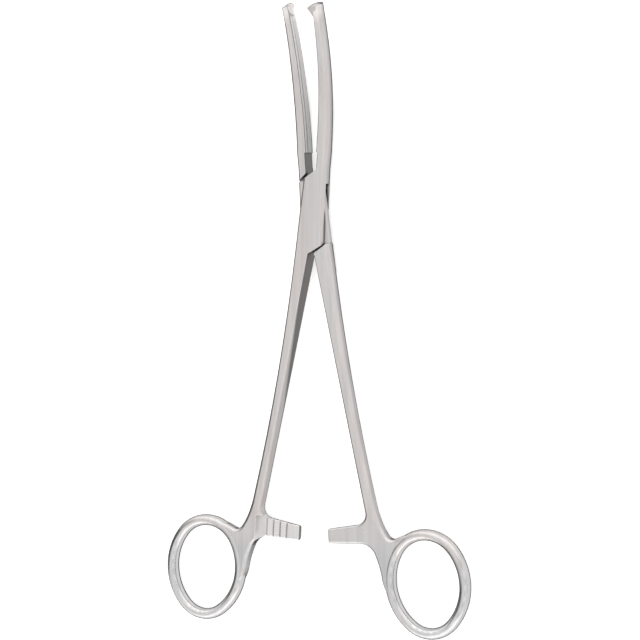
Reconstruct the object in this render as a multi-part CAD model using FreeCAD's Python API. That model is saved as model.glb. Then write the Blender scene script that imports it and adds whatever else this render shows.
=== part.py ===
import FreeCAD, Part
import math
import os

# Hysterectomy forceps: a long ring-handled clamp of stainless steel, all sizes in millimetres.
# It lies on its back: +Z is up, +Y points to the jaw tips, +X is to the right, and the
# origin is on the rivet's axis, in the back face of the box lock.
# Both halves are drawn closed, with the parting plane at X = 0 and the middle plane at
# Z = 0. They are then swung apart about the rivet and lifted to their resting place.

# Stance of the open forceps: each half is turned this far from the closed position
half_opening_angle = 3.8

# Box lock: the tongue of one half passes through a slot between two cheeks of the other
lock_thickness = 5.8
lock_top = 15.0
lock_bottom = -14.0
shank_side_top = 3.55
shank_side_middle = 4.65
shank_side_bottom = 5.55
jaw_side_top = 4.1
jaw_side_middle = 4.35
jaw_side_bottom = 5.0
tongue_thickness = 2.0
tongue_clearance = 0.04
tongue_jaw_overhang = 0.6
tongue_shank_overhang = 0.3
tongue_edge_radius = 0.5
slot_end_radius = 10.8
slot_end_clearance = 0.2
web_side_clearance = 0.2
upper_shoulder_height = 13.65
upper_shoulder_angle = 37.2
lower_shoulder_height = -13.35
lower_shoulder_angle = 32.1
shoulder_clearance = 0.28
crotch_radius = 0.6

# Rivet: its ends are spread into countersinks and ground flush with the cheeks
rivet_radius = 1.4
rivet_head_radius = 1.9
rivet_head_depth = 0.9
rivet_clearance = 0.04

# Crowned outer sides of the bars: how far the rounding reaches across and through
crown_width = 1.0
crown_height = 2.3
inner_edge_radius = 0.3

# Jaws: a smooth recessed root, then a grooved length that bends up along an arc
jaw_root_gap = 1.05
jaw_groove_start = 20.1
jaw_bend_start = 25.0
jaw_bend_radius = 112.0
jaw_length = 54.7
jaw_width_base = 3.65
jaw_width_tip = 2.5
jaw_thickness_tip = 4.7
jaw_crown_height_tip = 1.8
jaw_bow = 0.62
jaw_tip_gap = 0.04
jaw_tip_radius = 5.5
jaw_tip_crest = 0.8
jaw_tip_stock = 0.4
groove_count = 5
groove_depth = 0.3

# Teeth at the tips: one on the right jaw bites between two on the left jaw
tooth_reach = 2.9
tooth_foot = 1.55
tooth_crest = 0.5
side_tooth_reach = 1.22
side_tooth_foot = 0.5
side_tooth_inset = 0.35
tooth_gap = 0.28

# Shanks, from the lock down to the ratchets
shank_end = -97.0
shank_end_lean = 9.5
shank_gap_lock = 0.3
shank_gap_middle = 6.4
shank_gap_end = 12.6
shank_width_middle = 3.25
shank_width_end = 3.45
shank_thickness_end = 4.4
shank_spans = 8
shank_inner_radius_end = 0.8
shank_outer_radius_end = 1.2

# Finger rings: an egg-shaped oval of oval rod, centred below the shank's end
ring_centre_x = 33.5
ring_centre_below = 26.45
ring_inner_half_width = 11.475
ring_inner_top = 14.03
ring_inner_bottom = 14.85
ring_side_radius = 18.8
ring_tilt = 2.85
ring_rod_width = 3.7
ring_rod_thickness = 4.7

# Ratchets: half-thickness bars whose saw teeth face each other, below the shank's end
ratchet_reach = 0.9
ratchet_tip_below = 8.3
ratchet_tip_height = 4.9
ratchet_root_below = 7.15
ratchet_root_drop = 0.15
ratchet_root_x = 9.4
ratchet_clearance = 0.08
ratchet_land = 4.3
ratchet_pitch = 2.52
ratchet_catches = 4
ratchet_tooth_depth = 0.75
ratchet_lead_in = 0.5
ratchet_scoop_radius = 3.4

# Webs that join shank, ring and ratchet bar: the places their sides pass through, each
# across from the parting plane and below the shank's end
web_neck = 2.5
web_bar_overlap = 1.4
web_flank_x = 15.75
web_flank_below = 17.0
web_waist_x = 17.75
web_waist_below = 25.0
web_foot_x = 21.25
web_foot_below = 32.6
notch_side_x = 19.4
notch_side_below = 9.8
notch_floor_x = 22.2
notch_floor_below = 12.0
notch_end_x = 29.0
notch_end_below = 10.4

# How far each curve of a web's sides holds its direction beyond such a place
neck_hold = 2.6
bar_hold = 2.2
flank_hold = 2.0
waist_hold = 2.7
foot_hold = 2.6
notch_shank_hold = 3.5
notch_side_hold = 3.2
notch_corner_hold = 1.4
notch_floor_hold = 1.6
notch_end_hold = 3.6
notch_end_rise = 0.1

# Derived sizes
half_thickness = lock_thickness / 2
slot_half_height = tongue_thickness / 2 + tongue_clearance
tongue_end_radius = slot_end_radius - slot_end_clearance
upper_slope = math.tan(math.radians(upper_shoulder_angle))
lower_slope = math.tan(math.radians(lower_shoulder_angle))
upper_step = shoulder_clearance / math.cos(math.radians(upper_shoulder_angle))
lower_step = shoulder_clearance / math.cos(math.radians(lower_shoulder_angle))
shank_width_lock = shank_side_bottom - shank_gap_lock
tooth_recess = side_tooth_reach + tooth_gap
ring_centre_y = shank_end - ring_centre_below
ratchet_tip_top = shank_end - ratchet_tip_below
ratchet_tip_bottom = ratchet_tip_top - ratchet_tip_height
ratchet_root_top = shank_end - ratchet_root_below
ratchet_root_bottom = ratchet_tip_bottom - ratchet_root_drop
half_crest = tooth_crest / 2
tip_half_thickness = jaw_thickness_tip / 2
beyond = 6.0
far = 4 * lock_top


def point(x, y, z=0.0):
    return FreeCAD.Vector(x, y, z)


def line(start, end):
    return Part.LineSegment(start, end).toShape()


def bezier(*poles):
    curve = Part.BezierCurve()
    curve.setPoles(list(poles))
    return curve.toShape()


def outline(edges):
    return Part.Wire(Part.__sortEdges__(edges))


def plate(edges, low, high):
    solid = Part.Face(outline(edges)).extrude(point(0, 0, high - low))
    solid.translate(point(0, 0, low))
    return solid


def polygon_plate(corners, low, high):
    return plate([line(a, b) for a, b in zip(corners, corners[1:] + corners[:1])], low, high)


def turned(shape, axis, angle):
    moved = shape.copy()
    moved.rotate(point(0, 0, 0), axis, angle)
    return moved


def mirrored(shape):
    return shape.mirror(point(0, 0, 0), point(1, 0, 0))


def blend(start, end, share):
    return start + (end - start) * share


def through_three(start, middle, end, share):
    # Smooth curve that takes three values at shares of 0, one half and 1.
    first = start * (1 - share) * (1 - 2 * share)
    second = 4 * middle * share * (1 - share)
    third = end * share * (2 * share - 1)
    return first + second + third


def edges_along(solid, guides):
    # Flat edges of a solid that run above or below the given guide lines.
    chosen = []
    for edge in solid.Edges:
        box = edge.BoundBox
        middle = edge.valueAt((edge.FirstParameter + edge.LastParameter) / 2)
        if box.ZMax - box.ZMin > 0.01:
            continue
        foot = Part.Vertex(point(middle.x, middle.y, 0))
        if min(foot.distToShape(guide)[0] for guide in guides) < 0.01:
            chosen.append(edge)
    return chosen


def bar_section(origin, across, normal, left, right, height, left_round, right_round, grooves=0):
    # Section of a bar between two distances along the across direction. Each side has its
    # own rounding, a width and a height. With grooves, the left side is a row of ridges.
    half = height / 2

    def place(x, n):
        return origin + across * x + normal * n

    def side(x, x_sign, rounding, n_sign):
        # Quarter of an ellipse between a flat face and a side.
        wide, high = rounding
        centre = place(x - x_sign * wide, n_sign * (half - high))
        share = math.sqrt(0.5)
        middle = centre + across * (x_sign * wide * share) + normal * (n_sign * high * share)
        if math.isclose(wide, high):
            start = place(x - x_sign * wide, n_sign * half)
            return Part.Arc(start, middle, place(x, n_sign * (half - high))).toShape()
        round_share = 0.5523
        return bezier(place(x - x_sign * wide, n_sign * half),
                      place(x - x_sign * wide * (1 - round_share), n_sign * half),
                      place(x, n_sign * (half - high * (1 - round_share))),
                      place(x, n_sign * (half - high)))

    left_wide, left_high = left_round
    right_wide, right_high = right_round
    ridge = half - left_high
    left_points = [place(left, -ridge)]
    for number in range(grooves):
        base = -ridge + 2 * ridge * number / grooves
        left_points.append(place(left + groove_depth, base + ridge / grooves))
        left_points.append(place(left, base + 2 * ridge / grooves))
    if not grooves:
        left_points.append(place(left, ridge))
    edges = [
        line(place(left + left_wide, half), place(right - right_wide, half)),
        side(right, 1, right_round, 1),
        line(place(right, half - right_high), place(right, right_high - half)),
        side(right, 1, right_round, -1),
        line(place(right - right_wide, -half), place(left + left_wide, -half)),
        side(left, -1, left_round, -1)]
    edges += [line(a, b) for a, b in zip(left_points, left_points[1:])]
    edges.append(side(left, -1, left_round, 1))
    return outline(edges)


def level_section(y, left, right, height, left_round, right_round):
    # Section across the closed forceps at a distance along it.
    return bar_section(point(0, y), point(1, 0), point(0, 0, 1), left, right, height,
                       left_round, right_round)


def jaw_frame(distance):
    # Place and upward normal on the jaw's middle line, at a distance above the lock.
    straight = jaw_bend_start - lock_top
    if distance <= straight:
        return point(0, lock_top + distance, 0), point(0, 0, 1)
    turn = (distance - straight) / jaw_bend_radius
    y = jaw_bend_start + jaw_bend_radius * math.sin(turn)
    z = jaw_bend_radius * (1 - math.cos(turn))
    return point(0, y, z), point(0, -math.sin(turn), math.cos(turn))


def jaw_body():
    # Right jaw without its teeth, with stock left at its end for the rounded tip. The bowed
    # jaws meet at the tips first.
    inner_round = (inner_edge_radius, inner_edge_radius)
    start = jaw_groove_start - lock_top
    root_side = jaw_tip_gap + jaw_bow + jaw_width_base
    root = Part.makeLoft([
        level_section(lock_top, jaw_root_gap, jaw_side_top, lock_thickness,
                      inner_round, (crown_width, crown_height)),
        level_section(jaw_groove_start, jaw_root_gap, root_side, lock_thickness,
                      inner_round, (crown_width, crown_height))], True, True)
    sections = []
    for share in (0.0, 0.25, 0.5, 0.75, 1.0):
        place, normal = jaw_frame(blend(start, jaw_length + jaw_tip_stock, share))
        gap = jaw_tip_gap + jaw_bow * math.cos(math.pi / 2 * share ** 2) ** 2
        width = blend(jaw_width_base, jaw_width_tip, share ** 1.3)
        thickness = blend(lock_thickness, jaw_thickness_tip, share)
        outer_round = (crown_width, blend(crown_height, jaw_crown_height_tip, share))
        sections.append(bar_section(place, point(1, 0), normal, gap, gap + width, thickness,
                                    inner_round, outer_round, groove_count))
    return root.fuse(Part.makeLoft(sections, True, False))


def to_jaw_tip(shape):
    # Moves a shape drawn at the origin, with Y along the jaw and Z its normal, to the tip.
    place, normal = jaw_frame(jaw_length)
    moved = turned(shape, point(1, 0), math.degrees(math.atan2(-normal.y, normal.z)))
    moved.translate(place)
    return moved


def tip_dome():
    # What is ground away outside the rounded end of the right jaw.
    reach = jaw_tip_radius * 0.98
    drop = jaw_tip_radius - math.sqrt(jaw_tip_radius ** 2 - reach ** 2)
    left = point(jaw_tip_crest - reach, -drop)
    right = point(jaw_tip_crest + reach, -drop)
    edges = [Part.Arc(left, point(jaw_tip_crest, 0), right).toShape(),
             line(right, point(right.x, beyond)), line(point(right.x, beyond),
                                                       point(left.x, beyond)),
             line(point(left.x, beyond), left)]
    return plate(edges, -beyond, beyond)


def tooth_flank(x):
    # Half-width of the single tooth's V-shaped ridge, at a distance across the jaw.
    slope = (tip_half_thickness - half_crest) / (tooth_reach + tooth_recess)
    return half_crest + slope * (x + tooth_reach)


def single_tooth(root, top):
    # V-shaped ridge with a lower flank at 45 degrees.
    corners = [point(-tooth_reach, top, half_crest), point(root, top, tooth_flank(root)),
               point(root, top, -tooth_flank(root)), point(-tooth_reach, top, -half_crest)]
    length = top + tooth_foot + tooth_reach + root
    ridge = Part.Face(Part.makePolygon(corners + corners[:1])).extrude(point(0, -length, 0))
    side = [point(-tooth_reach, -tooth_foot), point(-tooth_reach, top), point(root, top),
            point(root, -tooth_foot - tooth_reach - root)]
    return ridge.common(polygon_plate(side, -beyond, beyond))


def tooth_pocket():
    # Corner cut away in front of the single tooth, where a tooth of the left jaw enters.
    floor = -side_tooth_foot - tooth_gap
    side = [point(tooth_recess, floor), point(tooth_recess, beyond), point(-beyond, beyond),
            point(-beyond, floor - tooth_recess - beyond)]
    corners = [point(tooth_recess, beyond, tip_half_thickness),
               point(-tooth_reach, beyond, half_crest), point(-beyond, beyond, half_crest),
               point(-beyond, beyond, beyond), point(tooth_recess, beyond, beyond)]
    above = Part.Face(Part.makePolygon(corners + corners[:1])).extrude(point(0, -3 * beyond, 0))
    return above.common(polygon_plate(side, -beyond, beyond))


def right_jaw():
    # One tooth in the middle, with pockets in front of it and behind it.
    root = tooth_recess / 2
    pocket = tooth_pocket()
    back_pocket = pocket.mirror(point(0, 0, 0), point(0, 0, 1))
    cuts = [to_jaw_tip(shape) for shape in (tip_dome(), pocket, back_pocket)]
    return jaw_body().fuse(to_jaw_tip(single_tooth(root, jaw_tip_stock))).cut(cuts)


def left_jaw():
    # Two teeth, front and back, with a V-shaped notch between them for the single tooth.
    root = jaw_width_tip / 2
    half = tip_half_thickness - side_tooth_inset
    side = [point(-root, jaw_tip_stock), point(side_tooth_reach, jaw_tip_stock),
            point(side_tooth_reach, -side_tooth_foot),
            point(-root, -side_tooth_foot - side_tooth_reach - root)]
    teeth = polygon_plate(side, -half, half)
    notch = single_tooth(beyond, beyond)
    notch.translate(point(-tooth_gap, 0, 0))
    cuts = [to_jaw_tip(notch), to_jaw_tip(mirrored(tip_dome()))]
    return mirrored(jaw_body()).fuse(to_jaw_tip(teeth)).cut(cuts)


def shank_frame(share):
    # Middle, width and lean of the right shank, from the lock to its end.
    gap = through_three(shank_gap_lock, shank_gap_middle, shank_gap_end, share)
    width = through_three(shank_width_lock, shank_width_middle, shank_width_end, share)
    lean = math.radians(shank_end_lean) * share
    return point(gap + width / 2, blend(lock_bottom, shank_end, share)), width, lean


def shank():
    # Right shank: crowned on its outer side, rounder and thinner towards the ratchets.
    sections = []
    for number in range(shank_spans + 1):
        share = number / shank_spans
        middle, width, lean = shank_frame(share)
        inner = blend(inner_edge_radius, shank_inner_radius_end, share)
        outer = (blend(crown_width, shank_outer_radius_end, share),
                 blend(crown_height, shank_outer_radius_end, share))
        across = point(math.cos(lean), math.sin(lean))
        sections.append(bar_section(middle, across, point(0, 0, 1), -width / 2, width / 2,
                                    blend(lock_thickness, shank_thickness_end, share),
                                    (inner, inner), outer))
    return Part.makeLoft(sections, True, True)


def ring_arcs():
    # Middle line of the ring's rod: an egg of four tangent arcs. Each has its centre, its
    # radius and the angles, in degrees, at which it starts and ends.
    half_width = ring_inner_half_width + ring_rod_width / 2
    top = ring_inner_top + ring_rod_width / 2
    bottom = ring_inner_bottom + ring_rod_width / 2
    side = ring_side_radius
    inset = side - half_width
    # An end arc's radius follows from touching both side arcs from inside.
    top_radius = (side ** 2 - inset ** 2 - top ** 2) / (2 * (side - top))
    bottom_radius = (side ** 2 - inset ** 2 - bottom ** 2) / (2 * (side - bottom))
    rise = math.degrees(math.atan2(top - top_radius, inset))
    fall = math.degrees(math.atan2(bottom - bottom_radius, inset))
    arcs = [(-inset, 0, side, -fall, rise),
            (0, top - top_radius, top_radius, rise, 180 - rise),
            (inset, 0, side, 180 - rise, 180 + fall),
            (0, bottom_radius - bottom, bottom_radius, 180 + fall, 360 - fall)]
    tilt = math.radians(ring_tilt)
    tilted = []
    for x, y, radius, start, end in arcs:
        centre = point(ring_centre_x + x * math.cos(tilt) - y * math.sin(tilt),
                       ring_centre_y + x * math.sin(tilt) + y * math.cos(tilt))
        tilted.append((centre, radius, start + ring_tilt, end + ring_tilt))
    return tilted


def ring():
    # Rod of oval section, turned about the centre of each arc of its middle line.
    upright = point(0, 0, 1)
    pieces = []
    for centre, radius, start, end in ring_arcs():
        middle = centre + point(radius, 0)
        section = Part.Ellipse(middle + point(0, 0, ring_rod_thickness / 2),
                               middle + point(ring_rod_width / 2, 0), middle)
        face = Part.Face(Part.Wire([section.toShape()]))
        face.rotate(centre, upright, start)
        pieces.append(face.revolve(centre, upright, end - start))
    return pieces[0].fuse(pieces[1:])


def ring_opening():
    # Everything inside the middle line of the ring's rod.
    edges = []
    for centre, radius, start, end in ring_arcs():
        circle = Part.Circle(centre, point(0, 0, 1), radius)
        edges.append(circle.trim(math.radians(start), math.radians(end)).toShape())
    return plate(edges, -beyond, beyond)


def ratchet_teeth_cut():
    # What is milled away under the right bar: a lead-in, the saw teeth and a scooped end.
    crest = ratchet_clearance
    valley = ratchet_clearance + ratchet_tooth_depth
    tip = -ratchet_reach
    corners = [point(tip - beyond, 0, -beyond), point(tip - beyond, 0, crest + ratchet_lead_in),
               point(tip, 0, crest + ratchet_lead_in)]
    for number in range(ratchet_catches):
        x = tip + ratchet_land + ratchet_pitch * number
        corners.append(point(x, 0, crest))
        corners.append(point(x, 0, valley))
    last = corners[-1]
    radius = ratchet_scoop_radius
    share = math.sqrt(0.5)
    middle = point(last.x + radius * share, 0, valley - radius + radius * share)
    end = point(last.x + radius, 0, valley - radius)
    edges = [line(a, b) for a, b in zip(corners, corners[1:])]
    edges.append(Part.Arc(last, middle, end).toShape())
    edges.append(line(end, point(end.x, 0, -beyond)))
    edges.append(line(point(end.x, 0, -beyond), corners[0]))
    low = ratchet_root_bottom - radius
    cut = Part.Face(Part.Wire(edges)).extrude(point(0, ratchet_root_top - low + 1, 0))
    cut.translate(point(0, low, 0))
    return cut


def web_and_bar():
    # The web between shank, ring and ratchet bar, cut through where the ring is open. Its
    # sides are smooth curves from point to point, each leaving along its own direction.
    middle, width, lean = shank_frame(1.0)
    across = point(math.cos(lean), math.sin(lean))
    along = point(math.sin(lean), -math.cos(lean))
    inner_start = middle - across * (width / 2)
    outer_start = middle + across * (width / 2)
    neck = inner_start + along * web_neck
    bar_top = point(ratchet_root_x, ratchet_root_top)
    tip_top = point(-ratchet_reach, ratchet_tip_top)
    tip_bottom = point(-ratchet_reach, ratchet_tip_bottom)
    bar_bottom = point(ratchet_root_x + web_bar_overlap, ratchet_root_bottom)
    to_bar = (bar_top - tip_top).normalize()
    from_bar = (bar_bottom - tip_bottom).normalize()
    flank = point(web_flank_x, shank_end - web_flank_below)
    flank_way = point(0.35, -0.94)
    waist = point(web_waist_x, shank_end - web_waist_below)
    waist_way = point(0.1, -0.99)
    foot = point(web_foot_x, shank_end - web_foot_below)
    foot_way = point(0.66, -0.75)
    notch_side = point(notch_side_x, shank_end - notch_side_below)
    notch_way = point(0.5, -0.87)
    notch_floor = point(notch_floor_x, shank_end - notch_floor_below)
    notch_end = point(notch_end_x, shank_end - notch_end_below)
    inner_side = [line(inner_start, neck),
                  bezier(neck, neck + along * neck_hold, bar_top + to_bar * bar_hold, bar_top),
                  line(bar_top, tip_top)]
    lower_side = [line(tip_bottom, bar_bottom),
                  bezier(bar_bottom, bar_bottom + from_bar * bar_hold,
                         flank - flank_way * flank_hold, flank),
                  bezier(flank, flank + flank_way * waist_hold,
                         waist - waist_way * waist_hold, waist),
                  bezier(waist, waist + waist_way * foot_hold, foot - foot_way * foot_hold,
                         foot)]
    notch = [bezier(outer_start, outer_start + along * notch_shank_hold,
                    notch_side - notch_way * notch_side_hold, notch_side),
             bezier(notch_side, notch_side + notch_way * notch_corner_hold,
                    notch_floor + point(-notch_corner_hold, 0), notch_floor),
             bezier(notch_floor, notch_floor + point(notch_floor_hold, 0),
                    notch_end + point(-notch_end_hold, notch_end_rise), notch_end)]
    sides = inner_side + [line(tip_top, tip_bottom)] + lower_side
    sides += [line(foot, notch_end)] + notch + [line(outer_start, inner_start)]
    web = plate(sides, -shank_thickness_end / 2, shank_thickness_end / 2)
    web = web.makeFillet(shank_inner_radius_end, edges_along(web, inner_side + lower_side))
    web = web.makeFillet(shank_outer_radius_end, edges_along(web, notch))
    return web.cut([ring_opening(), ratchet_teeth_cut()])


def handle():
    # Right shank, finger ring and the upper ratchet bar, whose teeth face down.
    return shank().fuse([web_and_bar(), ring()])


def rivet():
    # Straight body with a cone at each end.
    cone_base = half_thickness - rivet_head_depth
    profile = [point(0, 0, -half_thickness), point(rivet_head_radius, 0, -half_thickness),
               point(rivet_radius, 0, -cone_base), point(rivet_radius, 0, cone_base),
               point(rivet_head_radius, 0, half_thickness), point(0, 0, half_thickness)]
    face = Part.Face(Part.makePolygon(profile + profile[:1]))
    return face.revolve(point(0, 0, 0), point(0, 0, 1), 360)


def lock_bar(jaw_extra, shank_extra, height, rounding):
    # The lock's full-length bar: its left side runs into the shank, its right into the jaw.
    sections = []
    for y, shank_side, jaw_side in ((lock_bottom, shank_side_bottom, jaw_side_bottom),
                                    (0, shank_side_middle, jaw_side_middle),
                                    (lock_top, shank_side_top, jaw_side_top)):
        sections.append(level_section(y, -shank_side - shank_extra, jaw_side + jaw_extra,
                                      height, rounding, rounding))
    return Part.makeLoft(sections, True, True)


def above_shoulder(gap, offset):
    # Everything above the upper shoulder's line and left of the jaw's inner side.
    top = upper_shoulder_height + offset
    corner = point(gap, top + upper_slope * gap)
    slope = point(math.cos(math.radians(upper_shoulder_angle)),
                  math.sin(math.radians(upper_shoulder_angle)))
    setback = crotch_radius * math.tan(math.radians(45 - upper_shoulder_angle / 2))
    start = corner - slope * setback
    end = corner + point(0, setback)
    edges = [line(corner - slope * far, start), bezier(start, corner, end),
             line(end, point(gap, far)), line(point(gap, far), point(-far, far)),
             line(point(-far, far), corner - slope * far)]
    return plate(edges, -beyond, beyond)


def below_shoulder(gap, offset):
    # Everything below the lower shoulder's line and right of the shank's inner side.
    base = lower_shoulder_height - offset
    corners = [point(gap, -far), point(gap, base + lower_slope * gap),
               point(far, base + lower_slope * far), point(far, -far)]
    return polygon_plate(corners, -beyond, beyond)


def box_lock():
    # Front and back cheeks, joined by webs to the right jaw and to the left shank.
    body = lock_bar(0, 0, lock_thickness, (crown_width, crown_height))
    slot = Part.makeCylinder(slot_end_radius, 2 * slot_half_height,
                             point(0, 0, -slot_half_height))
    upper_web = web_side_clearance - jaw_root_gap
    lower_web = shank_gap_lock - web_side_clearance
    upper = polygon_plate([point(upper_web, 0), point(upper_web, far), point(-far, far),
                           point(-far, 0)], -slot_half_height, slot_half_height)
    lower = polygon_plate([point(lower_web, 0), point(lower_web, -far), point(far, -far),
                           point(far, 0)], -slot_half_height, slot_half_height)
    return body.cut([above_shoulder(jaw_root_gap, 0), below_shoulder(-shank_gap_lock, 0),
                     slot, upper, lower, rivet()])


def tongue_lock():
    # Flat tongue between two stepped shoulders, joined to the left jaw and the right shank.
    body = mirrored(lock_bar(0, 0, lock_thickness, (crown_width, crown_height)))
    upper = above_shoulder(-jaw_root_gap, upper_step)
    lower = below_shoulder(shank_gap_lock, lower_step)
    shoulders = body.common(upper.fuse(lower))
    top = upper_shoulder_height + upper_step
    low = lower_shoulder_height - lower_step
    between = polygon_plate([point(-far, top - far * upper_slope),
                             point(far, top + far * upper_slope),
                             point(far, low + far * lower_slope),
                             point(-far, low - far * lower_slope)], -beyond, beyond)
    sheet = mirrored(lock_bar(tongue_jaw_overhang, tongue_shank_overhang, tongue_thickness,
                              (tongue_edge_radius, tongue_edge_radius)))
    swing = Part.makeCylinder(tongue_end_radius, 2 * beyond, point(0, 0, -beyond))
    upper_room = polygon_plate([point(-jaw_root_gap, 0), point(-jaw_root_gap, far),
                                point(far, far), point(far, 0)], -beyond, beyond).cut(swing)
    lower_room = polygon_plate([point(shank_gap_lock, 0), point(shank_gap_lock, -far),
                                point(-far, -far), point(-far, 0)], -beyond, beyond).cut(swing)
    bore = Part.makeCylinder(rivet_radius + rivet_clearance, 2 * beyond, point(0, 0, -beyond))
    tongue = sheet.common(between).cut([upper_room, lower_room, bore])
    return shoulders.fuse(tongue)


def placed(shape, angle):
    # From the closed position, swung about the rivet and lifted so that the back is at Z = 0.
    moved = turned(shape, point(0, 0, 1), angle)
    moved.translate(point(0, 0, half_thickness))
    return moved


def box_half():
    # Right jaw, the two cheeks with their slot, and the left shank with its ring.
    return box_lock().fuse([right_jaw(), turned(handle(), point(0, 1, 0), 180)])


def tongue_half():
    # Left jaw, the tongue, and the right shank with its ring.
    return tongue_lock().fuse([left_jaw(), handle()])


def export(name, shape):
    # A part that falls apart or comes out broken stops the build.
    if not shape.isValid() or len(shape.Solids) != 1:
        raise RuntimeError(name + " is not one sound solid")
    shape.Solids[0].exportStep("parts/" + name + ".step")


os.makedirs("parts", exist_ok=True)
export("box_half", placed(box_half(), -half_opening_angle))
export("tongue_half", placed(tongue_half(), half_opening_angle))
export("pivot_pin", placed(rivet(), -half_opening_angle))
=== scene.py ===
import math

import bpy
from mathutils import Matrix, Vector

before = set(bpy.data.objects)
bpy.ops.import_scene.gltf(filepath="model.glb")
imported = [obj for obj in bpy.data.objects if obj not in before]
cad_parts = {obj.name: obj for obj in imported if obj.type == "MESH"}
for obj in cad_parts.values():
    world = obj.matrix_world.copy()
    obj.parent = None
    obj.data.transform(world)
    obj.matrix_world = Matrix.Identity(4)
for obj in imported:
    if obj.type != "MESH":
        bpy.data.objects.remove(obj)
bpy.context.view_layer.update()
scene = bpy.context.scene

# The two halves of the forceps: forged stainless steel, each half one piece from jaw tip
# to finger ring. The flat faces are brushed lengthwise to a satin finish, and the crowned
# sides and the rings are polished brighter. They are held together by the lock pin alone.


def feed(tree, socket, value):
    # Gives a socket a plain number or colour, or the output of another node.
    if isinstance(value, (float, tuple)):
        socket.default_value = value
    else:
        tree.links.new(value, socket)


def arithmetic(tree, operation, first, second):
    step = tree.nodes.new("ShaderNodeMath")
    step.operation = operation
    feed(tree, step.inputs[0], first)
    feed(tree, step.inputs[1], second)
    return step.outputs[0]


def product(tree, first, *others):
    # Of masks, which are 1 inside and 0 outside, the product is where they all overlap.
    for other in others:
        first = arithmetic(tree, "MULTIPLY", first, other)
    return first


def without(tree, mask, share=1.0):
    # 1 outside a mask, and lower by the given share inside it.
    return arithmetic(tree, "SUBTRACT", 1.0, arithmetic(tree, "MULTIPLY", mask, share))


def beyond(tree, value, limit):
    return arithmetic(tree, "GREATER_THAN", value, limit)


def short_of(tree, value, limit):
    return arithmetic(tree, "LESS_THAN", value, limit)


def graded(tree, value, start, end, first=0.0, last=1.0, eased=False):
    # Goes from first to last while the value goes from start to end.
    step = tree.nodes.new("ShaderNodeMapRange")
    if eased:
        step.interpolation_type = "SMOOTHSTEP"
    feed(tree, step.inputs["Value"], value)
    feed(tree, step.inputs["From Min"], start)
    feed(tree, step.inputs["From Max"], end)
    feed(tree, step.inputs["To Min"], first)
    feed(tree, step.inputs["To Max"], last)
    return step.outputs["Result"]


def parts(tree, vector):
    # The parts of a vector across, along and up.
    step = tree.nodes.new("ShaderNodeSeparateXYZ")
    tree.links.new(vector, step.inputs["Vector"])
    return step.outputs["X"], step.outputs["Y"], step.outputs["Z"]


def agreement(tree, first, second):
    # 1 where two directions are the same, and 0 where they are square to each other.
    step = tree.nodes.new("ShaderNodeVectorMath")
    step.operation = "DOT_PRODUCT"
    feed(tree, step.inputs[0], first)
    feed(tree, step.inputs[1], second)
    return step.outputs["Value"]


def ramp(tree, value, stops):
    # Colours along a value, from stops in order, each a position and a colour.
    step = tree.nodes.new("ShaderNodeValToRGB")
    elements = step.color_ramp.elements
    for number, (position, colour) in enumerate((stops[0], stops[-1])):
        elements[number].position = position
        elements[number].color = (*colour, 1)
    for position, colour in stops[1:-1]:
        elements.new(position).color = (*colour, 1)
    tree.links.new(value, step.inputs["Fac"])
    return step.outputs["Color"]


def mixed(tree, share, under, over, way="MIX"):
    step = tree.nodes.new("ShaderNodeMix")
    step.data_type = "RGBA"
    step.blend_type = way
    feed(tree, step.inputs["Factor"], share)
    feed(tree, step.inputs["A"], under)
    feed(tree, step.inputs["B"], over)
    return step.outputs["Result"]


def grain(tree, place, stretch, detail, roughness):
    # Noise with its own number of waves per metre across, along and up.
    drawn_out = tree.nodes.new("ShaderNodeMapping")
    drawn_out.inputs["Scale"].default_value = stretch
    tree.links.new(place, drawn_out.inputs["Vector"])
    noise = tree.nodes.new("ShaderNodeTexNoise")
    noise.inputs["Scale"].default_value = 1.0
    noise.inputs["Detail"].default_value = detail
    noise.inputs["Roughness"].default_value = roughness
    tree.links.new(drawn_out.outputs["Vector"], noise.inputs["Vector"])
    return noise.outputs["Fac"]


steel = bpy.data.materials.new("satin_steel")
steel.use_nodes = True
metal = steel.node_tree
metal.nodes.clear()
output = metal.nodes.new("ShaderNodeOutputMaterial")
surface = metal.nodes.new("ShaderNodeBsdfPrincipled")
surface.inputs["Specular Tint"].default_value = (0.75, 0.75, 0.75, 1)
metal.links.new(surface.outputs["BSDF"], output.inputs["Surface"])
place = metal.nodes.new("ShaderNodeTexCoord").outputs["Object"]
crosswise, lengthwise, height = parts(metal, place)
shape = metal.nodes.new("ShaderNodeNewGeometry")
flat_across, flat_along = parts(metal, shape.outputs["True Normal"])[:2]
smooth_across, smooth_along = parts(metal, shape.outputs["Normal"])[:2]

# Long grinding streaks, the belt's fine hairlines, and broad patches where the tone turns
# slightly warmer or cooler.
streaks = grain(metal, place, (420.0, 9.0, 420.0), 6.0, 0.6)
hairs = grain(metal, place, (3800.0, 60.0, 3800.0), 4.0, 0.5)
patches = grain(metal, place, (90.0, 90.0, 90.0), 2.0, 0.5)
tone = ramp(metal, streaks, ((0.3, (0.575, 0.55, 0.54)), (0.7, (0.70, 0.675, 0.66))))
hue = ramp(metal, patches, ((0.35, (1.0, 0.975, 0.965)), (0.65, (0.975, 0.985, 1.0))))
colour = mixed(metal, 1.0, tone, hue, "MULTIPLY")

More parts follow.
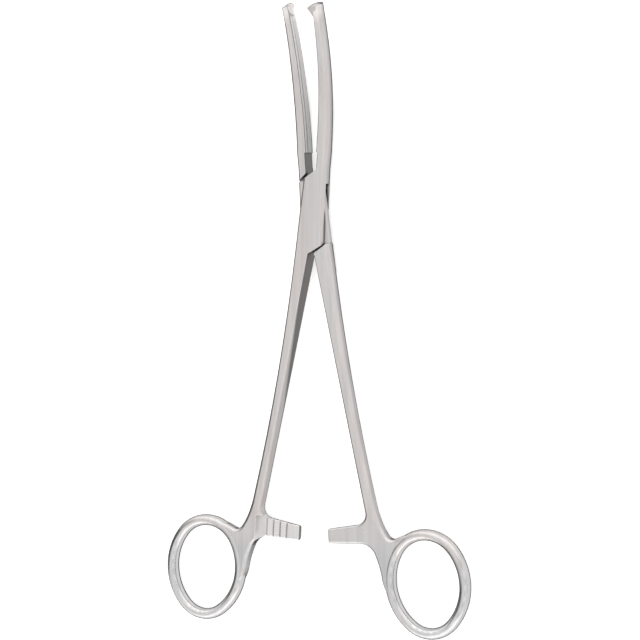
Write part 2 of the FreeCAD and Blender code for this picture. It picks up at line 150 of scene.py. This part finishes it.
# Satin from the jaws down to the ratchets, and mirror polish on the finger rings, where
# the hairlines are polished away as well.
polished_to = -0.114
satin_from = -0.102
hairs_fade = -0.112
hairs_full = -0.1
polish_roughness = 0.03
satin_roughness = 0.27
hair_roughness = 0.12
hair_depth = 0.00004
polish_relief = 0.01
satin_relief = 0.12
finish = graded(metal, lengthwise, polished_to, satin_from, polish_roughness, satin_roughness)
rubbed = arithmetic(metal, "MULTIPLY", hairs, hair_roughness)
metal.links.new(arithmetic(metal, "ADD", rubbed, finish), surface.inputs["Roughness"])
relief = metal.nodes.new("ShaderNodeBump")
relief.inputs["Distance"].default_value = hair_depth
hair_relief = graded(metal, lengthwise, hairs_fade, hairs_full, polish_relief, satin_relief)
metal.links.new(hair_relief, relief.inputs["Strength"])
metal.links.new(hairs, relief.inputs["Height"])

# Every sharp edge is broken by a fraction of a millimetre and given a painted highlight, a
# lighter colour, so that it catches the light. Only the pin's rim stays sharp, ground flush with
# the cheek.
ring_edges_to = -0.112
lock_edges_from = -0.098
ring_edge_radius = 0.0008
lock_edge_radius = 0.00022
pin_reach = 0.003
edge_highlight_steel = (0.95, 0.94, 0.93, 1)
edge_radius = graded(metal, lengthwise, ring_edges_to, lock_edges_from, ring_edge_radius,
                     lock_edge_radius)
from_pin = arithmetic(metal, "ABSOLUTE", lengthwise, 0.0)
edge_radius = product(metal, edge_radius, beyond(metal, from_pin, pin_reach))
broken_edge = metal.nodes.new("ShaderNodeBevel")
broken_edge.samples = 6
metal.links.new(edge_radius, broken_edge.inputs["Radius"])
metal.links.new(broken_edge.outputs["Normal"], relief.inputs["Normal"])
metal.links.new(relief.outputs["Normal"], surface.inputs["Normal"])
# Painted highlight: the colour is lightened where the rounded normal turns from the face.
turned_away = agreement(metal, broken_edge.outputs["Normal"], shape.outputs["Normal"])
edge_highlight = graded(metal, turned_away, 0.98, 0.8)
colour = mixed(metal, edge_highlight, colour, edge_highlight_steel)

# Painted shade: narrow gaps, groove floors and the inside of the slot are darkened by
# ambient occlusion, all down to the shoulders below the lock. So are the valleys between
# the left ratchet's teeth.
gap_width = 0.0012
below_shoulders = -0.02
parting = 0.001
ratchet_top = -0.1035
teeth_start = -0.0192
left_half = short_of(metal, crosswise, parting)
on_ratchet = short_of(metal, lengthwise, ratchet_top)
on_teeth = product(metal, on_ratchet, beyond(metal, crosswise, teeth_start), left_half)
open_metal = arithmetic(metal, "SUBTRACT", short_of(metal, lengthwise, below_shoulders), on_teeth)
crevice = metal.nodes.new("ShaderNodeAmbientOcclusion")
crevice.samples = 8
crevice.inputs["Distance"].default_value = gap_width
crevice_shade = graded(metal, crevice.outputs["AO"], 0.38, 0.86, open_metal)

# Painted shade on the faces between the halves that look inward: the recess at the jaw root,
# the flank of the left shank up to a line that rises towards the lock, and the tooth steps.
recess_top = 0.0201
flank_bottom = -0.066
flank_top = -0.029
shade_line_bottom = 0.0021
shade_line_top = 0.0064
shade_line_blend = 1 / 900
bar_start = -0.0199
inward_shade_darkness = 0.64
shade_line = graded(metal, lengthwise, flank_bottom, flank_top, shade_line_bottom, shade_line_top)
below_shade_line = arithmetic(metal, "SUBTRACT", shade_line, height)
under_shade_line = graded(metal, below_shade_line, 0.0, shade_line_blend)
under_shade_line = arithmetic(metal, "MAXIMUM", under_shade_line, on_ratchet)
inward = beyond(metal, flat_across, 0.8)
under_recess = short_of(metal, lengthwise, recess_top)
off_ring = arithmetic(metal, "MAXIMUM", without(metal, on_ratchet),
                      beyond(metal, crosswise, bar_start))
inward_shade = product(metal, under_shade_line, inward, left_half, under_recess, off_ring)

# Painted shade: surfaces that turn away from the upper right, the camera's direction, are
# darkened, and those facing left more. It ends where they turn under, at the finger rings and on
# the jaw tips.
upper_right = (0.4535, 0.0443, 0.8902)
side_shade_level = 0.25
left_shade_level = 0.1
left_end_shade = 0.3
tip_start = 0.0625
ring_shade_end = -0.134
bar_shade_start = -0.110
turned_up = agreement(metal, shape.outputs["Normal"], upper_right)
side_shade = arithmetic(metal, "MAXIMUM", graded(metal, turned_up, 0.1, 0.42, side_shade_level),
                  graded(metal, turned_up, -0.02, -0.2, side_shade_level))
above_ring = graded(metal, lengthwise, ring_shade_end, bar_shade_start, 1.0, left_shade_level)
bright_edge = arithmetic(metal, "MAXIMUM", beyond(metal, lengthwise, tip_start),
                         graded(metal, smooth_along, 0.3, 0.65))
left_shade_least = arithmetic(metal, "MAXIMUM", above_ring, bright_edge)
left_side_shade = arithmetic(metal, "MAXIMUM", graded(metal, smooth_across, -0.55, 0.02, left_shade_least),
                       graded(metal, smooth_across, -0.84, -0.94, left_end_shade))
side_shade = arithmetic(metal, "MINIMUM", side_shade, left_side_shade)
# All the painted shade together: in the crevices, on the inward faces and on the turned-away
# sides.
shade = product(metal, crevice_shade, without(metal, inward_shade, inward_shade_darkness), side_shade)

# The bite of the left jaw is grooved lengthwise and blasted matt. Across it, bands of painted
# highlight and shade stand in for the light on its grooves. They follow the bend of the jaw, so
# their height is taken above its curved back.
bend_start = 0.025
bend_diameter = 0.224
jaw_thickness = 0.0058
groove_light_and_shade = ((0.1, 0.6), (0.2, 0.95), (0.3, 0.72), (0.4, 0.95), (0.5, 0.85), (0.6, 0.35),
                (0.67, 1.0), (0.79, 1.0), (0.86, 0.2), (0.94, 0.2))
past_bend = arithmetic(metal, "SUBTRACT", lengthwise, bend_start)
past_bend = arithmetic(metal, "MAXIMUM", past_bend, 0.0)
risen = arithmetic(metal, "DIVIDE", product(metal, past_bend, past_bend), bend_diameter)
above_back = arithmetic(metal, "SUBTRACT", height, risen)
jaw_height = arithmetic(metal, "DIVIDE", above_back, jaw_thickness)
groove_light_stops = [(0.05, (0.35, 0.35, 0.35))]
groove_light_stops += [(position, (grey, 0.985 * grey, 0.975 * grey)) for position, grey in groove_light_and_shade]
groove_light_stops += [(1.0, (0.8, 0.79, 0.78))]
in_bite = product(metal, beyond(metal, flat_across, 0.7), beyond(metal, lengthwise, recess_top),
                  left_half)
colour = mixed(metal, in_bite, colour, ramp(metal, jaw_height, groove_light_stops))
# The bite takes none of that painted shade, only its own painted bands.
shade = arithmetic(metal, "MAXIMUM", shade, in_bite)

# The polish of the rings looks cooler, and the scoop before the ratchet is blasted matt.
ring_tint = (0.965, 1.0, 1.02, 1)
ring_tint_start = -0.1
ring_tint_full = -0.118
blasted_steel = (0.70, 0.68, 0.67, 1)
matt_share = 0.85
scoop_top = -0.1021
scoop_bottom = -0.1106
scoop_left = -0.0245
scoop_right = -0.0197
near_ring = graded(metal, lengthwise, ring_tint_start, ring_tint_full)
colour = mixed(metal, near_ring, colour, ring_tint, "MULTIPLY")
in_scoop = product(metal, short_of(metal, lengthwise, scoop_top),
                   beyond(metal, lengthwise, scoop_bottom),
                   beyond(metal, crosswise, scoop_left),
                   short_of(metal, crosswise, scoop_right),
                   graded(metal, flat_across, 0.15, 0.775))
colour = mixed(metal, in_scoop, colour, blasted_steel)
matt = arithmetic(metal, "MAXIMUM", in_bite, in_scoop)
metal.links.new(without(metal, matt, matt_share), surface.inputs["Metallic"])

# Painted highlights brighten the jaw tips from the teeth on and the left ratchet's teeth.
# Painted shade darkens the valleys of the ratchet once more and round the back rim of both jaw
# ends.
tooth_foot = 0.0632
tooth_crest = 0.0655
tip_highlight_gain = 1.22
ratchet_highlight_share = -0.16
rim_darkness = 0.75
rim_start = 0.066
rim_top = 0.0114
tip_highlight = graded(metal, lengthwise, tooth_foot, tooth_crest, 1.0, tip_highlight_gain)
# Painted shade: the ratchet valleys are darkened once more, and so is the back rim of the jaw
# ends.
valley_shade = product(metal, on_teeth, without(metal, crevice_shade))
tip_rim_shade = product(metal, beyond(metal, flat_along, 0.7), short_of(metal, height, rim_top),
              beyond(metal, lengthwise, rim_start))
shade = product(metal, shade, tip_highlight, without(metal, valley_shade),
                without(metal, tip_rim_shade, rim_darkness), without(metal, on_teeth, ratchet_highlight_share))
# The base colour is the steel's colour times all the painted shade and highlights.
shaded = metal.nodes.new("ShaderNodeVectorMath")
shaded.operation = "SCALE"
metal.links.new(colour, shaded.inputs[0])
metal.links.new(shade, shaded.inputs["Scale"])
metal.links.new(shaded.outputs["Vector"], surface.inputs["Base Color"])
for name in ("box_half", "tongue_half"):
    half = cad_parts[name]
    half.data.materials.clear()
    half.data.materials.append(steel)

# The lock pin: a steel rivet whose spread ends are ground flush with the cheeks. It is
# held in the countersinks of the box half and shows only as a faint ring.
pin_metal = steel.copy()
pin_metal.name = "pin_steel"
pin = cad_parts["pivot_pin"]
pin.data.materials.clear()
pin.data.materials.append(pin_metal)

# White studio sweep under the instrument. It isn't part of it. The metal mirrors it light
# to the right and dark to the left and straight below, as under a shaded table lamp.
sweep_size = 6.0
paper_lift = 0.45
bpy.ops.mesh.primitive_plane_add(size=sweep_size, location=(0, 0, 0))
floor = bpy.context.object
floor.name = "floor"
paper = bpy.data.materials.new("paper")
paper.use_nodes = True
card = paper.node_tree
card.nodes.clear()
paper_end = card.nodes.new("ShaderNodeOutputMaterial")
white = card.nodes.new("ShaderNodeBsdfDiffuse")
white.inputs["Color"].default_value = (1.0, 1.0, 1.0, 1)
lift = card.nodes.new("ShaderNodeEmission")
lift.inputs["Strength"].default_value = paper_lift
shown = card.nodes.new("ShaderNodeAddShader")
card.links.new(white.outputs["BSDF"], shown.inputs[0])
card.links.new(lift.outputs["Emission"], shown.inputs[1])
seen_from = card.nodes.new("ShaderNodeNewGeometry").outputs["Incoming"]
seen_along = parts(card, seen_from)[1]
toward_hood = agreement(card, seen_from, upper_right)
side = graded(card, toward_hood, 0.5, 0.82, 1.05, 0.12, eased=True)
toward_tip = graded(card, seen_along, -0.25, -0.45, eased=True)
mirrored_paper = card.nodes.new("ShaderNodeEmission")
card.links.new(arithmetic(card, "MAXIMUM", side, toward_tip), mirrored_paper.inputs["Strength"])
paper_ray = card.nodes.new("ShaderNodeLightPath")
paper_mix = card.nodes.new("ShaderNodeMixShader")
card.links.new(paper_ray.outputs["Is Glossy Ray"], paper_mix.inputs["Fac"])
card.links.new(shown.outputs["Shader"], paper_mix.inputs[1])
card.links.new(mirrored_paper.outputs["Emission"], paper_mix.inputs[2])
card.links.new(paper_mix.outputs["Shader"], paper_end.inputs["Surface"])
floor.data.materials.append(paper)

# World: plain white to the camera. What the metal mirrors is a bright tent of soft panels
# that falls off to a dark left side and is brightest behind the rings and the jaw tips.
world = bpy.data.worlds.new("studio")
scene.world = world
world.use_nodes = True
sky = world.node_tree
sky.nodes.clear()
sky_end = sky.nodes.new("ShaderNodeOutputWorld")
plain = sky.nodes.new("ShaderNodeBackground")
plain.inputs["Color"].default_value = (1, 1, 1, 1)
plain.inputs["Strength"].default_value = 1.0
way = sky.nodes.new("ShaderNodeTexCoord").outputs["Generated"]
way_across, way_along = parts(sky, way)[:2]
tent_greys = ((0.04, 0.12), (0.12, 0.4), (0.2, 0.88), (0.5, 0.9), (0.62, 0.87), (0.72, 0.9),
              (0.86, 0.92), (1.0, 0.86))
tent_stops = [(position, (grey, grey, grey)) for position, grey in tent_greys]
across_tent = ramp(sky, graded(sky, way_across, -1.0, 1.0), tent_stops)
open_ends = graded(sky, arithmetic(sky, "ABSOLUTE", way_along, 0.0), 0.12, 0.3, eased=True)
tent_colour = mixed(sky, open_ends, across_tent, (0.95, 0.95, 0.95, 1), "LIGHTEN")
behind_rings = graded(sky, way_along, -0.76, -0.52, 1.75, 1.1, eased=True)
behind_tips = graded(sky, way_along, 0.4, 0.75, 0.0, 0.52)
brightness = arithmetic(sky, "ADD", behind_rings, behind_tips)
panels = sky.nodes.new("ShaderNodeTexWave")
panels.inputs["Scale"].default_value = 2.3
panels.bands_direction = "DIAGONAL"
sky.links.new(way, panels.inputs["Vector"])
panel_light = graded(sky, panels.outputs["Fac"], 0.0, 1.0, 0.8, 1.2)
tent = sky.nodes.new("ShaderNodeBackground")
sky.links.new(tent_colour, tent.inputs["Color"])
sky.links.new(product(sky, brightness, panel_light), tent.inputs["Strength"])
sky_ray = sky.nodes.new("ShaderNodeLightPath")
sky_mix = sky.nodes.new("ShaderNodeMixShader")
sky.links.new(sky_ray.outputs["Is Glossy Ray"], sky_mix.inputs["Fac"])
sky.links.new(plain.outputs["Background"], sky_mix.inputs[1])
sky.links.new(tent.outputs["Background"], sky_mix.inputs[2])
sky.links.new(sky_mix.outputs["Shader"], sky_end.inputs["Surface"])

# Camera: over the instrument, 27 degrees round to the right and a little above the tips,
# with a long lens.
azimuth = math.radians(27.0)
pitch = math.radians(2.54)
distance = 0.746
focal_length = 125.9
right = Vector((math.cos(azimuth), 0.0, -math.sin(azimuth)))
toward = Vector((math.sin(azimuth) * math.cos(pitch), math.sin(pitch),
                 math.cos(azimuth) * math.cos(pitch)))
upward = toward.cross(right)
target = Vector((0.00206, -0.03563, 0.0029))
camera_data = bpy.data.cameras.new("camera")
camera = bpy.data.objects.new("camera", camera_data)
scene.collection.objects.link(camera)
camera_data.lens = focal_length
camera_data.sensor_width = 36.0
turn = Matrix((right, upward, toward)).transposed().to_4x4()
camera.matrix_world = Matrix.Translation(target + toward * distance) @ turn
camera_data.clip_start = 0.01
camera_data.clip_end = 20.0
scene.camera = camera

scene.view_settings.view_transform = "Standard"
scene.view_settings.look = "None"
